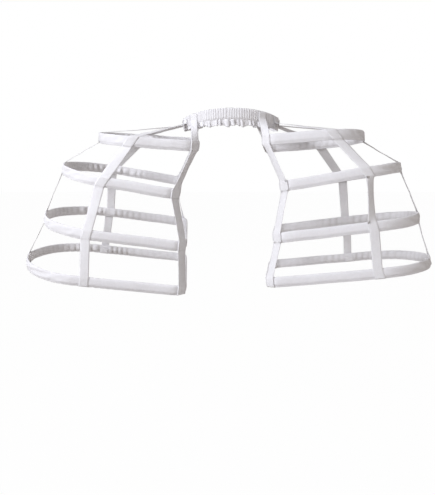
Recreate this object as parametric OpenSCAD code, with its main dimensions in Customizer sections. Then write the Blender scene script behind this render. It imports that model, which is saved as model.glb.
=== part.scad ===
// Pannier hoop cage: two side cages of fabric-covered hoops, hung by tapes from a gathered waistband.
// The origin is the centre of the waist opening, at the front of the band's channel seam.
// -Y is the front, +Z is up, and +X is to the right as seen from the front.
// Lists of four run from the top hoop to the hem hoop.
// Pairs of values give the left cage before the right one.

/* [Hoops] */
// Length of the hem hoop from the hip outwards
hem_length = 476; // [360:5:600]
// Depth of the hem hoop from front to rear
hem_depth = 345; // [260:5:420]
// Height of the hem hoop's inner side below the waist
hem_drop = 460; // [380:1:540]
// Length of each hoop, as a share of the hem hoop's
length_share = [0.599, 0.725, 0.882, 1]; // [0.4:0.001:1]
// Depth of each hoop, as a share of the hem hoop's
depth_share = [0.739, 0.928, 0.986, 1]; // [0.5:0.001:1]
// Drop of each hoop, as a share of the hem hoop's
drop_share = [0.142, 0.418, 0.726, 1]; // [0.1:0.001:1]
// Distance of each hoop's inner side from the middle of the body
hoop_inset = [100, 154, 138, 131]; // [90:1:220]
// Radius of the two bends beside the hip
hip_bend_radius = 40; // [30:1:60]

/* [Hang] */
// Upward slope of each hoop towards its outer end, in degrees
hoop_slope = [4, 10, 8, 7]; // [0:0.5:12]
// Forward swing of the left and right cages, in degrees
cage_swing = [4, 7.5]; // [-8:0.5:8]
// Lift of the rear of the left and right cages, in degrees
cage_lift = [4, -4]; // [-8:0.5:8]
// Sideways sway of the hem hoops
hem_sway = 10; // [-20:1:20]

/* [Casings] */
// Height of a hoop casing
casing_h = 28; // [24:0.5:40]
// Thickness of a hoop casing
casing_t = 7; // [6:0.1:10]
// Cloth wall of a casing
casing_wall = 1.3; // [0.8:0.1:1.5]

/* [Bones] */
// Width of the flat bone inside a casing
bone_w = 18; // [10:0.5:20]
// Thickness of the bone
bone_t = 2; // [1.2:0.1:2.2]
// Gap between the two ends of a bone
bone_end_gap = 1; // [0.5:0.1:3]
// Length of the metal ferrule over the bone's ends
ferrule_l = 40; // [20:1:60]
// Wall of the ferrule
ferrule_wall = 0.5; // [0.3:0.05:0.6]
// Clearance of the ferrule round the bone
ferrule_clearance = 0.05; // [0.03:0.01:0.1]
// Clearance between the ferrule and the casing wall
ferrule_seat_gap = 0.35; // [0.2:0.05:0.4]

/* [Tapes] */
// Width of the tapes
tape_w = 25; // [15:0.5:30]
// Thickness of the tapes
tape_t = 1; // [0.6:0.1:2]
// Clearance between a tape and the cloth it is sewn to
seam_gap = 0.3; // [0.1:0.05:0.5]
// Place of the left cage's front tape along each hoop, as a share of its length
left_front_place = [0.645, 0.6, 0.64, 0.585]; // [0.3:0.005:0.8]
// Place of the right cage's front tape along each hoop, as a share of its length
right_front_place = [0.67, 0.665, 0.63, 0.635]; // [0.3:0.005:0.8]
// Place of the left cage's rear tape along each hoop, as a share of its length
left_rear_place = [0.6, 0.645, 0.62, 0.59]; // [0.3:0.005:0.8]
// Place of the right cage's rear tape along each hoop, as a share of its length
right_rear_place = [0.59, 0.57, 0.565, 0.565]; // [0.3:0.005:0.8]
// Place of the inner front tape round its hip bends, in degrees from the hip side
front_hip_turn = 46; // [20:1:70]
// Place of the inner rear tape round its hip bends, in degrees from the hip side
rear_hip_turn = 44; // [20:1:70]
// Length of a tape's end turned up inside the hem hoop
hem_turn_up = 14; // [6:1:20]
// Length of a tape's end sewn to the band
waist_lap = 16; // [8:1:18]
// Height of the sewn end's middle above the channel's seam
waist_lap_rise = 19; // [10:1:20]
// Place round the band of the left cage's inner, side and outer tapes, in degrees from the hip
left_spread = [41, 20, 0]; // [0:1:60]
// Place round the band of the right cage's inner, side and outer tapes, in degrees from the hip
right_spread = [53, 25, 0]; // [0:1:60]

/* [Waistband] */
// Width of the waist opening at the middle of the band
waist_w = 276; // [240:2:400]
// Depth of the waist opening at the middle of the band
waist_d = 210; // [160:5:300]
// Height of the gathered channel
channel_h = 30; // [24:1:45]
// Thickness of the gathered channel between its pleat crests
channel_t = 9; // [8:0.5:14]
// Cloth thickness of the channel's walls
channel_wall = 1.2; // [0.8:0.1:1.6]
// Height of the pleats from valley to crest
pleat_h = 1.6; // [0.8:0.1:2]
// Number of pleats round the band
pleat_count = 96; // [60:2:120]
// Length of the frill under the channel at the front and back
frill_l = 18; // [8:1:24]
// Length of the frill at the hips
frill_hip_l = 4; // [3:1:8]
// Sideways wave of the frill at the front and back
frill_wave = 3; // [1:0.5:4]
// Dip of the band at the hips
hip_dip = 22; // [0:1:30]
// Rise of the band at the back
back_rise = 20; // [0:1:30]
// Width of the elastic inside the channel
elastic_w = 24; // [18:0.5:26]
// Thickness of the elastic
elastic_t = 1.5; // [1:0.1:2]

/* [Hidden] */
HOOPS = [0, 1, 2, 3];
SIDES = ["left", "right"];
TAPES = ["inner_front_tape", "front_tape", "outer_tape", "rear_tape", "inner_rear_tape"];
$fn = 64;

hoop_length = hem_length * length_share;
hoop_depth = hem_depth * depth_share;
hoop_drop = hem_drop * drop_share;
// The bone lies against the outer wall of its casing, with room for the ferrule there
cavity_t = casing_t - 2 * casing_wall;
bone_offset = cavity_t / 2 - ferrule_seat_gap - ferrule_wall - ferrule_clearance - bone_t / 2;
// A tape's middle follows the casing's rounded edges at this distance from their centres
tape_reach = casing_t / 2 + seam_gap + tape_t / 2;
edge_rise = casing_h / 2 - casing_t / 2;
// Angles of a tape's stations round the upper and lower edges of a casing, and heights of those on its face
over_edge = [70, 35, 0];
on_face = [0.5, 0, -0.5];
under_edge = [0, -35, -70];
round_hem = [0, -30, -60, -90, -120, -150, -180];
// Steps of the free stretch of a tape between two pieces of cloth
span_steps = 5;
band_columns = 2 * pleat_count;
elastic_columns = 72;
// Share of the band's half circle over which the frill grows from the hips to its full length
frill_growth = 2;

function sign_of(side) = side == 0 ? -1 : 1;
function sway_of(i) = i == len(HOOPS) - 1 ? -hem_sway : 0;
function end_centre(i) = hoop_length[i] - hoop_depth[i] / 2;

// A point of a hoop's own frame (outwards, rearwards, up) in the frame of the whole piece
function hoop_to_world(side, i, p) =
    let (lift = cage_lift[side], slope = hoop_slope[i], swing = cage_swing[side])
    let (a = [p.x, p.y * cos(lift) - p.z * sin(lift), p.y * sin(lift) + p.z * cos(lift)])
    let (b = [a.x * cos(slope) - a.z * sin(slope), a.y, a.x * sin(slope) + a.z * cos(slope)])
    let (c = [b.x * cos(swing) + b.y * sin(swing), b.y * cos(swing) - b.x * sin(swing), b.z])
    [sign_of(side) * (hoop_inset[i] + c.x) + sway_of(i), c.y, c.z - hoop_drop[i]];

module mirrored_left(side) {
    if (side == 0) mirror([1, 0, 0]) children();
    else children();
}

module place_hoop(side, i) {
    translate([sway_of(i), 0, 0]) mirrored_left(side)
        translate([hoop_inset[i], 0, -hoop_drop[i]])
        rotate([0, 0, -cage_swing[side]]) rotate([0, -hoop_slope[i], 0]) rotate([cage_lift[side], 0, 0])
        children();
}

// A straight stretch of a hoop: the section's x points to the right of the way it runs, its y points up
module straight_run(from, turn, run) {
    translate([from.x, from.y, 0]) rotate([0, 0, turn]) rotate([90, 0, 90])
        linear_extrude(height = run) children();
}

// A round stretch of a hoop about a centre: the section's x points away from the centre
module bend(centre, radius, start, angle) {
    translate([centre.x, centre.y, 0]) rotate([0, 0, start])
        rotate_extrude(angle = angle) translate([radius, 0]) children();
}

// Carries a section, drawn with x towards the outside of the hoop, round a hoop's whole outline.
// A gap parts the rear run at its middle.
module round_hoop(i, gap = 0) {
    half = hoop_depth[i] / 2;
    r = hip_bend_radius;
    run = end_centre(i) - r;
    straight_run([r, -half], 0, run) mirror([1, 0]) children();
    bend([end_centre(i), 0], half, -90, 180) children();
    if (gap > 0) {
        straight_run([end_centre(i), half], 180, (run - gap) / 2) mirror([1, 0]) children();
        straight_run([r + (run - gap) / 2, half], 180, (run - gap) / 2) mirror([1, 0]) children();
    } else {
        straight_run([end_centre(i), half], 180, run) mirror([1, 0]) children();
    }
    bend([r, half - r], r, 90, 90) children();
    straight_run([0, half - r], -90, 2 * (half - r)) mirror([1, 0]) children();
    bend([r, r - half], r, 180, 90) children();
}

module flat_tube_section(h, t) {
    square([t, h - t], center = true);
    for (end = [-1, 1]) translate([0, end * (h - t) / 2]) circle(d = t);
}

// A sewn cloth tube that goes right round the hoop
module hoop_casing(side, i) {
    color("whitesmoke") place_hoop(side, i) round_hoop(i)
        difference() {
            flat_tube_section(casing_h, casing_t);
            flat_tube_section(casing_h - 2 * casing_wall, cavity_t);
        }
}

// A flat bone bent round inside the casing, its ends a little apart at the middle of the rear run
module hoop_bone(side, i) {
    color("ivory") place_hoop(side, i) round_hoop(i, bone_end_gap)
        translate([bone_offset, 0]) square([bone_t, bone_w], center = true);
}

// A pressed metal sleeve over the ends of the bone
module hoop_ferrule(side, i) {
    bore = [bone_t, bone_w] + 2 * ferrule_clearance * [1, 1];
    middle = (end_centre(i) + hip_bend_radius) / 2;
    color("silver") place_hoop(side, i) translate([middle, hoop_depth[i] / 2 + bone_offset, 0])
        rotate([90, 0, 90]) linear_extrude(height = ferrule_l, center = true) difference() {
            square(bore + 2 * ferrule_wall * [1, 1], center = true);
            square(bore, center = true);
        }
}

// Distance of the front and rear tapes along a hoop, from its hip side
function place_of(side, tape, i) =
    let (front = [left_front_place, right_front_place], rear = [left_rear_place, right_rear_place])
    hoop_length[i] * (tape == 3 ? rear : front)[side][i];

// How far the front and rear tapes lean outwards for each unit they come down, as they cross a hoop
function lean(side, tape, i) =
    tape != 1 && tape != 3 ? 0 :
    let (above = max(i - 1, 0), below = min(i + 1, len(HOOPS) - 1))
    let (far = hoop_inset[below] + place_of(side, tape, below))
    let (near = hoop_inset[above] + place_of(side, tape, above))
    (far - near) / (hoop_drop[below] - hoop_drop[above]);

// Where a tape crosses a hoop at a height on its casing: the place and the outward direction, in plan.
// Tapes 0 and 4 cross the hip bends, 1 and 3 the front and rear runs, and 2 the outer end.
function crossing(side, tape, i, up) =
    let (half = hoop_depth[i] / 2, face = tape < 2 ? -1 : 1)
    tape == 2 ? [[hoop_length[i], 0], [1, 0]] :
    tape == 0 || tape == 4 ?
        let (turn = tape == 0 ? front_hip_turn : rear_hip_turn, n = [-cos(turn), face * sin(turn)])
        [[hip_bend_radius, face * (half - hip_bend_radius)] + hip_bend_radius * n, n] :
    let (along = place_of(side, tape, i) - lean(side, tape, i) * up, past = along - end_centre(i))
    past <= 0 ? [[along, face * half], [0, face]] :
    let (turn = asin(past / half), n = [sin(turn), face * cos(turn)])
    [[end_centre(i), 0] + half * n, n];

function unit(v) = v / norm(v);

// How far a flat tape must stand off the inside of a bend for its edges to clear the cloth
function bend_of(tape, i) = (tape == 0 || tape == 4 ? hip_bend_radius : hoop_depth[i] / 2) - casing_t / 2;
function stand_off(side, tape, i) =
    let (r = bend_of(tape, i), half = tape_w / 2 / cos(atan(lean(side, tape, i))))
    r - sqrt(r * r - half * half);

// A tape's station on a casing: its middle, its face direction and its width direction
function casing_station(side, tape, i, edge, angle) =
    let (c = crossing(side, tape, i, edge * edge_rise + tape_reach * sin(angle)), n = c[1])
    let (face = cos(angle) * [n.x, n.y, 0] + [0, 0, sin(angle)])
    let (inside = stand_off(side, tape, i) * min(1, max(0, -3 - angle / 30)), along = [-n.y, n.x, 0])
    let (middle = [c[0].x, c[0].y, edge * edge_rise] + tape_reach * face - inside * [n.x, n.y, 0])
    let (world = hoop_to_world(side, i, middle))
    [world, hoop_to_world(side, i, middle + face) - world, hoop_to_world(side, i, middle + along) - world];

// The band's middle line at an angle from the hip towards the front, and its outward direction
function band_height(angle) =
    -hip_dip * pow(cos(angle), 2) + back_rise * (1 - sin(angle)) / 2 * pow(sin(angle), 2);
function band_point(angle) = [waist_w / 2 * cos(angle), -waist_d / 2 * sin(angle), band_height(angle)];
function band_normal(angle) = unit([cos(angle) / waist_w, -sin(angle) / waist_d, 0]);

function tape_angle(side, tape) =
    let (spread = side == 0 ? left_spread : right_spread)
    tape < 2 ? spread[tape] : -spread[4 - tape];
function band_station(side, tape, below) =
    let (angle = tape_angle(side, tape), n = band_normal(angle), s = sign_of(side))
    let (p = band_point(angle) + (channel_t / 2 + seam_gap + tape_t / 2) * n + [0, 0, waist_lap_rise - below])
    [[s * p.x, p.y, p.z], [s * n.x, n.y, 0], [-s * n.y, n.x, 0]];

// The tape's end, turned up inside the hem hoop
function hem_station(side, tape) =
    let (i = len(HOOPS) - 1, turn = casing_station(side, tape, i, -1, -180), up = hem_turn_up - edge_rise)
    let (c = crossing(side, tape, i, up), middle = c[0] - (tape_reach + stand_off(side, tape, i)) * c[1])
    [hoop_to_world(side, i, [middle.x, middle.y, up]), turn[1], turn[2]];

// The stretches of a tape that lie on cloth: one on the band, then one on each casing
function tape_stretches(side, tape) = concat(
    [[for (below = [-waist_lap / 2, 0, waist_lap / 2]) band_station(side, tape, below)]],
    [for (i = HOOPS) concat(
        [for (angle = over_edge) casing_station(side, tape, i, 1, angle)],
        [for (rise = on_face) casing_station(side, tape, i, rise, 0)],
        [for (angle = i < len(HOOPS) - 1 ? under_edge : round_hem) casing_station(side, tape, i, -1, angle)],
        i < len(HOOPS) - 1 ? [] : [hem_station(side, tape)]
    )]
);

// A station at a share of the way between two others
function between(a, b, share) =
    [a[0] + share * (b[0] - a[0]), unit(a[1] + share * (b[1] - a[1])), unit(a[2] + share * (b[2] - a[2]))];

function tape_stations(side, tape) =
    let (parts = tape_stretches(side, tape))
    [for (k = [0 : len(parts) - 1]) each concat(
        k == 0 ? [] : [let (a = parts[k - 1]) for (n = [1 : span_steps - 1])
            between(a[len(a) - 1], parts[k][0], n / span_steps)],
        parts[k]
    )];

// The four corners of a tape at a station. Where the tape crosses at a slant, it keeps its true width
function tape_corners(side, station, way) =
    let (square = cross(way, station[2]), slant = max(0.5, norm(square)))
    let (half_w = tape_w / 2 / slant * station[2], half_t = sign_of(side) * tape_t / 2 * unit(square))
    [for (c = [[-1, -1], [1, -1], [1, 1], [-1, 1]]) station[0] + c[0] * half_w + c[1] * half_t];

// A closed skin over equal rings of points, capped at both ends or joined round into a loop.
// The two faces of a thin sheet are split along the same diagonals.
module skin(rings, loop = false, flip = false) {
    m = len(rings[0]);
    n = len(rings);
    walls = [for (k = [0 : n - (loop ? 1 : 2)], j = [0 : m - 1])
        let (k2 = (k + 1) % n, j2 = (j + 1) % m)
        let (a = k * m + j, b = k * m + j2, c = k2 * m + j2, d = k2 * m + j)
        each j < m / 2 ? [[a, b, c], [a, c, d]] : [[a, b, d], [b, c, d]]];
    caps = loop ? [] : [[for (j = [m - 1 : -1 : 0]) j], [for (j = [0 : m - 1]) (n - 1) * m + j]];
    faces = concat(walls, caps);
    turned = [for (f = faces) [for (k = [len(f) - 1 : -1 : 0]) f[k]]];
    polyhedron([for (r = rings) each r], flip ? turned : faces);
}

module hanging_tape(side, tape) {
    stations = tape_stations(side, tape);
    last = len(stations) - 1;
    rings = [for (k = [0 : last])
        let (way = unit(stations[min(k + 1, last)][0] - stations[max(k - 1, 0)][0]))
        tape_corners(side, stations[k], way)];
    color("white") skin(rings, flip = side == 1);
}

// The folded cloth channel, gathered into pleats, with a frill below its seam
module waistband_channel() {
    color("snow") skin([for (k = [0 : band_columns - 1]) channel_ring(k)], loop = true);
}

function channel_ring(k) =
    let (angle = 360 * k / band_columns, crest = k % 2, p = band_point(angle), n = band_normal(angle))
    let (grow = pow(abs(sin(angle)), frill_growth))
    let (out = channel_t / 2 - (crest == 0 ? pleat_h : 0), top = channel_h, wall = channel_wall)
    let (frill = frill_hip_l + (frill_l - frill_hip_l) * grow)
    let (wave = frill_wave * grow * sin(90 * k), thin = out - wall)
    [for (q = [
        [out, 0], [out, top - wall], [out / 2, top], [-out / 2, top], [-out, top - wall], [-out, 0],
        [wave - wall, -frill], [wave - wall / 4, -frill], [-thin, 0], [-thin, top - 2 * wall],
        [thin, top - 2 * wall], [thin, 0], [wave + wall / 4, -frill], [wave + wall, -frill]
    ]) p + q[0] * n + [0, 0, q[1]]];

// The flat elastic inside the channel
module waist_elastic() {
    lift = (channel_h - channel_wall * 2 - elastic_w) / 2;
    color("lightgray") skin([for (k = [0 : elastic_columns - 1])
        let (angle = 360 * k / elastic_columns, p = band_point(angle), n = band_normal(angle))
        [for (q = [[1, 0], [1, 1], [-1, 1], [-1, 0]])
            p + q[0] * elastic_t / 2 * n + [0, 0, lift + q[1] * elastic_w]]], loop = true);
}

waistband_channel();
waist_elastic();
for (side = [0, 1], i = HOOPS) {
    name = str(SIDES[side], "_hoop_", i + 1);
    hoop_casing(side, i);
    hoop_bone(side, i);
    hoop_ferrule(side, i);
}
for (side = [0, 1], tape = [0 : len(TAPES) - 1])
    hanging_tape(side, tape);
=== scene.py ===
"""Dresses the pannier cage: sewn casings, woven tapes, a gathered waistband and their stitching.

Lengths are in metres, in the part's own frame: -Y is the front, +Z is up, and +X is right as seen from
the front. Angles that are fields are in degrees, and the phases of waves are in radians.
"""

from __future__ import annotations

import logging
import math
from dataclasses import dataclass
from enum import Enum

import bpy
import numpy as np
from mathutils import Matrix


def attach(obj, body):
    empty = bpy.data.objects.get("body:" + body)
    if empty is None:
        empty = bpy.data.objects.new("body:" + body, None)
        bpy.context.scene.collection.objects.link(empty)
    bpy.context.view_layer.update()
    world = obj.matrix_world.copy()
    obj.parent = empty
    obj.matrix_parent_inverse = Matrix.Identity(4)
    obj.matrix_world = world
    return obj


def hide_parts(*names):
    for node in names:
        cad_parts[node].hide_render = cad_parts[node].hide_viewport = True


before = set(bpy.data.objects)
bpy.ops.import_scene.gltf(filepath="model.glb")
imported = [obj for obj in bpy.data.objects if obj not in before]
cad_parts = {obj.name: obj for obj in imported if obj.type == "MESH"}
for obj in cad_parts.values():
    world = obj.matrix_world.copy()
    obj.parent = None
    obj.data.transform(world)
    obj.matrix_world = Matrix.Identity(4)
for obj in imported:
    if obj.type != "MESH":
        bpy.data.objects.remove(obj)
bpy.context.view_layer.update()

LOG = logging.getLogger("pannier_cage")
Array = np.ndarray
FourArrays = tuple[Array, Array, Array, Array]
Random = np.random.Generator
Socket = bpy.types.NodeSocket
Feed = Socket | float | tuple
Colour = tuple[float, float, float]
Triple = tuple[float, float, float]
TAU = 2.0 * math.pi
QUARTER = math.pi / 2.0
TINY = 1e-12
UP = np.array([0.0, 0.0, 1.0])
FRONT = np.array([0.0, -1.0, 0.0])
PROBE = 0.001  # step over which directions are measured
CLOTH_UV = "cloth"
# Mesh attribute that says how strongly painted shade darkens each point in the folds, from 0 to 1
FOLD_SHADE = "fold_shade"


class Side(Enum):
    """The two cages, as seen from the front; the value is the sign of X."""

    LEFT = -1
    RIGHT = 1

    @property
    def word(self) -> str:
        """The side's name in node names."""
        return self.name.lower()


class TapeRun(Enum):
    """The five tapes of a cage, by where they cross the hoops."""

    INNER_FRONT = "inner_front"
    FRONT = "front"
    OUTER = "outer"
    REAR = "rear"
    INNER_REAR = "inner_rear"

    @property
    def leans(self) -> bool:
        """Whether the tape crosses the hoops at a slant."""
        return self in (TapeRun.FRONT, TapeRun.REAR)

    @property
    def at_hip(self) -> bool:
        """Whether the tape crosses the bends beside the hip."""
        return self in (TapeRun.INNER_FRONT, TapeRun.INNER_REAR)


class Edge(Enum):
    """The two edges of a casing; the value is the sign of the height."""

    UPPER = 1.0
    LOWER = -1.0


# Waves and directions


def ease(x: Array, start: float = 0.0, over: float = 1.0) -> Array:
    """Rises smoothly from 0 at the start to 1: 3t^2 - 2t^3, where t is the share of the way.

    Args:
        x: Any values.
        start: Where the rise begins.
        over: How long it takes.

    Returns:
        The eased values, held at 0 and 1 outside the rise.
    """
    t = np.clip((x - start) / over, 0.0, 1.0)
    return t * t * (3.0 - 2.0 * t)


def wandering(rng: Random, angle: Array, counts: tuple[int, ...], sizes: tuple[float, float]) -> Array:
    """Adds up sines of the angle that have random sizes and phases.

    Args:
        rng: Gives a size and then a phase for each sine.
        angle: Angles round a loop.
        counts: How many waves each sine has in the loop.
        sizes: Least and greatest size of a sine.

    Returns:
        The sum, of the angle's shape.
    """
    return sum(rng.uniform(*sizes) * np.sin(n * angle + rng.uniform(0.0, TAU)) for n in counts)


def patches(rng: Random, angle: Array, counts: tuple[int, int]) -> Array:
    """Multiplies two sines of the angle that have random phases, which gives uneven patches.

    Args:
        rng: Gives the two phases.
        angle: Angles round a loop.
        counts: How many waves each sine has in the loop.

    Returns:
        Values from -1 to 1, of the angle's shape.
    """
    first, second = counts
    return np.sin(first * angle + rng.uniform(0.0, TAU)) * np.sin(second * angle + rng.uniform(0.0, TAU))


def unit(v: Array) -> Array:
    """Scales vectors on the last axis to length one."""
    return v / np.maximum(np.linalg.norm(v, axis=-1, keepdims=True), TINY)


def run_length(points: Array) -> Array:
    """Distance along a line of points, from zero."""
    return np.concatenate([[0.0], np.cumsum(np.linalg.norm(np.diff(points, axis=0), axis=1))])


# Mesh helpers


def grid_faces(rows: int, columns: int, wrap_rows: bool, wrap_columns: bool) -> tuple[Array, Array]:
    """Joins a grid of points into quads: point (i, j) is number i * columns + j.

    Args:
        rows: Number of grid rows.
        columns: Number of grid columns.
        wrap_rows: Whether the last row joins the first.
        wrap_columns: Whether the last column joins the first.

    Returns:
        The quads as point numbers, and each quad corner's row and column before wrapping.
    """
    i, j = np.meshgrid(
        np.arange(rows if wrap_rows else rows - 1),
        np.arange(columns if wrap_columns else columns - 1),
        indexing="ij",
    )
    corner_i = np.stack([i, i + 1, i + 1, i], axis=-1).reshape(-1, 4)
    corner_j = np.stack([j, j, j + 1, j + 1], axis=-1).reshape(-1, 4)
    quads = (corner_i % rows) * columns + corner_j % columns
    return quads, np.stack([corner_i, corner_j], axis=-1)


def make_object(name: str, points: Array, faces: Array, uv: Array | None, material: bpy.types.Material,
                fold_shade: Array | None = None) -> bpy.types.Object:
    """Puts points and quads into a smooth mesh object at the origin.

    Args:
        name: The object's name.
        points: Points, with x, y and z on the last axis.
        faces: Point numbers, one row a face.
        uv: A pair for each face corner, or None.
        material: The finish of the whole piece.
        fold_shade: How strongly painted shade darkens each point in the folds, from 0 to 1, or None.

    Returns:
        The new object, linked to the scene.
    """
    mesh = bpy.data.meshes.new(name)
    mesh.from_pydata(points.reshape(-1, 3), [], faces)
    mesh.polygons.foreach_set("use_smooth", np.ones(len(mesh.polygons), dtype=bool))
    if uv is not None:
        layer = mesh.uv_layers.new(name=CLOTH_UV)
        layer.data.foreach_set("uv", np.ascontiguousarray(uv, dtype=np.float32).ravel())
    # Stores the painted shade of the folds as a point attribute, which the cloth's material reads.
    if fold_shade is not None:
        mark = mesh.attributes.new(FOLD_SHADE, "FLOAT", "POINT")
        mark.data.foreach_set("value", np.ascontiguousarray(fold_shade, dtype=np.float32).ravel())
    mesh.update()
    mesh.validate()
    mesh.materials.append(material)
    piece = bpy.data.objects.new(name, mesh)
    bpy.context.scene.collection.objects.link(piece)
    return piece


def grid_object(
    name: str, points: Array, u: Array, v: Array, material: bpy.types.Material,
    wrap_rows: bool = False, wrap_columns: bool = False, caps: bool = False, fold_shade: Array | None = None,
) -> bpy.types.Object:
    """Makes a piece from a grid of points, with u and v in metres along its rows and columns.

    Args:
        name: The object's name.
        points: Grid of points, rows by columns by 3.
        u: Distance along the rows; one more value than rows where they wrap.
        v: Distance along the columns; one more value than columns where they wrap.
        material: The finish.
        wrap_rows: Whether the rows close into a loop.
        wrap_columns: Whether the columns close into a loop.
        caps: Whether a flat tube's two open ends are closed by quads between its two faces.
        fold_shade: How strongly painted shade darkens each point of the grid in the folds, or None.

    Returns:
        The new object.
    """
    rows, columns = points.shape[:2]
    quads, corners = grid_faces(rows, columns, wrap_rows, wrap_columns)
    uv = np.stack([u[corners[..., 0]], v[corners[..., 1]]], axis=-1)
    if caps:
        k = np.arange(columns // 2 - 1)
        start = np.stack([k, k + 1, columns - 2 - k, columns - 1 - k], axis=-1)
        end = start[:, ::-1] + (rows - 1) * columns
        quads = np.concatenate([quads, start, end])
        uv = np.concatenate([uv, np.zeros((2 * len(k), 4, 2))])
    return make_object(name, points, quads, uv, material, fold_shade)


def add_wall(piece: bpy.types.Object, thickness: float, offset: float) -> None:
    """Gives a cloth surface its thickness.

    Args:
        piece: The surface.
        thickness: Thickness of the cloth.
        offset: -1 to thicken inwards only, 0 to thicken both ways.
    """
    wall = piece.modifiers.new("cloth_wall", "SOLIDIFY")
    wall.thickness = thickness
    wall.offset = offset


# Stitches


@dataclass(frozen=True)
class Stitching:
    """Machine stitches: short spindles of thread whose ends dip into the cloth.

    Along its length t from -1 to 1, a stitch is radius * sqrt(max(1 - t^4, tip)) thick, and its middle lies
    radius * (rise - dip * t^2) above the cloth.
    """

    pitch: float
    length: float
    radius: float
    sides: int = 4
    stations: tuple[float, ...] = (-1.0, -0.55, 0.55, 1.0)
    rise: float = 0.9
    dip: float = 1.3
    tip: float = 0.03

    def sew(self, name: str, centres: list[Array], along: list[Array], normal: list[Array],
            material: bpy.types.Material) -> bpy.types.Object:
        """Makes one piece of many stitches, each closed at both ends.

        Args:
            name: The object's name.
            centres: Where each stitch lies, as rows of points.
            along: The way each stitch runs, as rows of vectors.
            normal: The way out of the cloth, as rows of vectors.
            material: The thread's finish.

        Returns:
            The new object.
        """
        way, out = unit(np.concatenate(along)), unit(np.concatenate(normal))
        axes = np.stack([way, np.cross(out, way), out], axis=1)
        t = np.array(self.stations)[:, None]
        turn = np.linspace(0.0, TAU, self.sides, endpoint=False)
        thick = self.radius * np.sqrt(np.maximum(1.0 - t**4, self.tip))
        lengthways = np.broadcast_to(t * self.length / 2.0, (t.size, turn.size))
        rise = thick * np.sin(turn) + self.radius * (self.rise - self.dip * t**2)
        spindle = np.stack([lengthways, thick * np.cos(turn), rise], axis=-1).reshape(-1, 3)
        points = np.concatenate(centres)[:, None] + spindle @ axes
        quads, _ = grid_faces(t.size, self.sides, False, True)
        ring = np.arange(self.sides)
        shell = np.concatenate([quads[:, ::-1], [ring[::-1], ring + len(spindle) - self.sides]])
        firsts = len(spindle) * np.arange(len(points))[:, None, None]
        return make_object(name, points, (shell[None] + firsts).reshape(-1, 4), None, material)


# Hoops and tapes


@dataclass(frozen=True)
class HoopPlan:
    """One hoop's size and place: a long loop, straight beside the hip and round at its outer end.

    The places of the front and rear tapes are shares of the length, for the left and the right cage.
    """

    number: int
    length: float
    depth: float
    inset: float
    drop: float
    slope: float
    front_places: tuple[float, float]
    rear_places: tuple[float, float]
    sway: float = 0.0
    bend: float = 0.040
    front_hip_turn: float = 46.0
    rear_hip_turn: float = 44.0

    @property
    def half(self) -> float:
        """Half the depth, which is the radius of the outer end."""
        return self.depth / 2.0

    @property
    def run(self) -> float:
        """Length of the straight front run, and of the rear one."""
        return self.length - self.half - self.bend

    @property
    def tip(self) -> float:
        """Distance round the loop to the middle of the outer end."""
        return self.run + math.pi * self.half / 2

    @property
    def perimeter(self) -> float:
        """Length right round the hoop."""
        return 2.0 * self.run + math.pi * self.half + math.pi * self.bend + 2.0 * (self.half - self.bend)

    def outline(self, s: Array) -> tuple[Array, Array]:
        """Places on the loop at distances s from the front hip bend, going outwards, with their normals.

        The loop is a front run, a half circle, a rear run, a quarter bend, the hip side and a quarter bend.

        Args:
            s: Distances round the loop.

        Returns:
            The places and the outward normals, in plan: outwards, then rearwards.
        """
        s = np.asarray(s) % self.perimeter
        a, h, r = self.run, self.half, self.bend
        c = self.length - h
        marks = np.cumsum([0.0, a, math.pi * h, a, r * QUARTER, 2.0 * (h - r)])
        stretch = np.clip(np.searchsorted(marks, s, side="right") - 1, 0, len(marks) - 1)
        on = [stretch == k for k in range(len(marks))]
        d = s - marks[stretch]
        still = np.zeros_like(d)
        turn = np.select(on, [
            still - QUARTER, d / h - QUARTER, still + QUARTER,
            d / r + QUARTER, still + math.pi, d / r + math.pi,
        ])
        centre_x = np.select(on, [r + d, c, c - d, r, r, r])
        centre_y = np.select(on, [still, still, still, still + h - r, h - r - d, still + r - h])
        radius = np.select(on, [h, h, h, r, r, r])
        normal = np.stack([np.cos(turn), np.sin(turn)], axis=-1)
        return np.stack([centre_x, centre_y], axis=-1) + radius[..., None] * normal, normal

    def tape_place(self, tape: TapeRun, side: Side) -> float:
        """Distance of a front or rear tape along the hoop, from its hip side."""
        places = self.rear_places if tape is TapeRun.REAR else self.front_places
        return self.length * places[0 if side is Side.LEFT else 1]

    def crossing(self, tape: TapeRun, side: Side) -> float:
        """Distance round the loop at which a tape crosses it.

        Args:
            tape: Which tape.
            side: Which cage.

        Returns:
            The distance from the front hip bend.
        """
        place = self.tape_place(tape, side)
        past = place - (self.length - self.half)
        out = place - self.bend if past <= 0 else self.run + self.half * math.asin(past / self.half)
        return {
            TapeRun.INNER_FRONT: self.perimeter - self.bend * math.radians(90.0 - self.front_hip_turn),
            TapeRun.FRONT: out,
            TapeRun.OUTER: self.tip,
            TapeRun.REAR: 2.0 * self.tip - out,
            TapeRun.INNER_REAR: 2.0 * self.tip + self.bend * math.radians(90.0 - self.rear_hip_turn),
        }[tape]


HOOPS = (
    HoopPlan(1, 0.2851, 0.2550, 0.100, 0.0653, 4.0, (0.645, 0.670), (0.600, 0.590)),
    HoopPlan(2, 0.3451, 0.3202, 0.154, 0.1923, 10.0, (0.600, 0.665), (0.645, 0.570)),
    HoopPlan(3, 0.4198, 0.3402, 0.138, 0.3340, 8.0, (0.640, 0.630), (0.620, 0.565)),
    HoopPlan(4, 0.4760, 0.3450, 0.131, 0.4600, 7.0, (0.585, 0.635), (0.590, 0.565), sway=-0.010),
)
HEM = HOOPS[-1]


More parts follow.
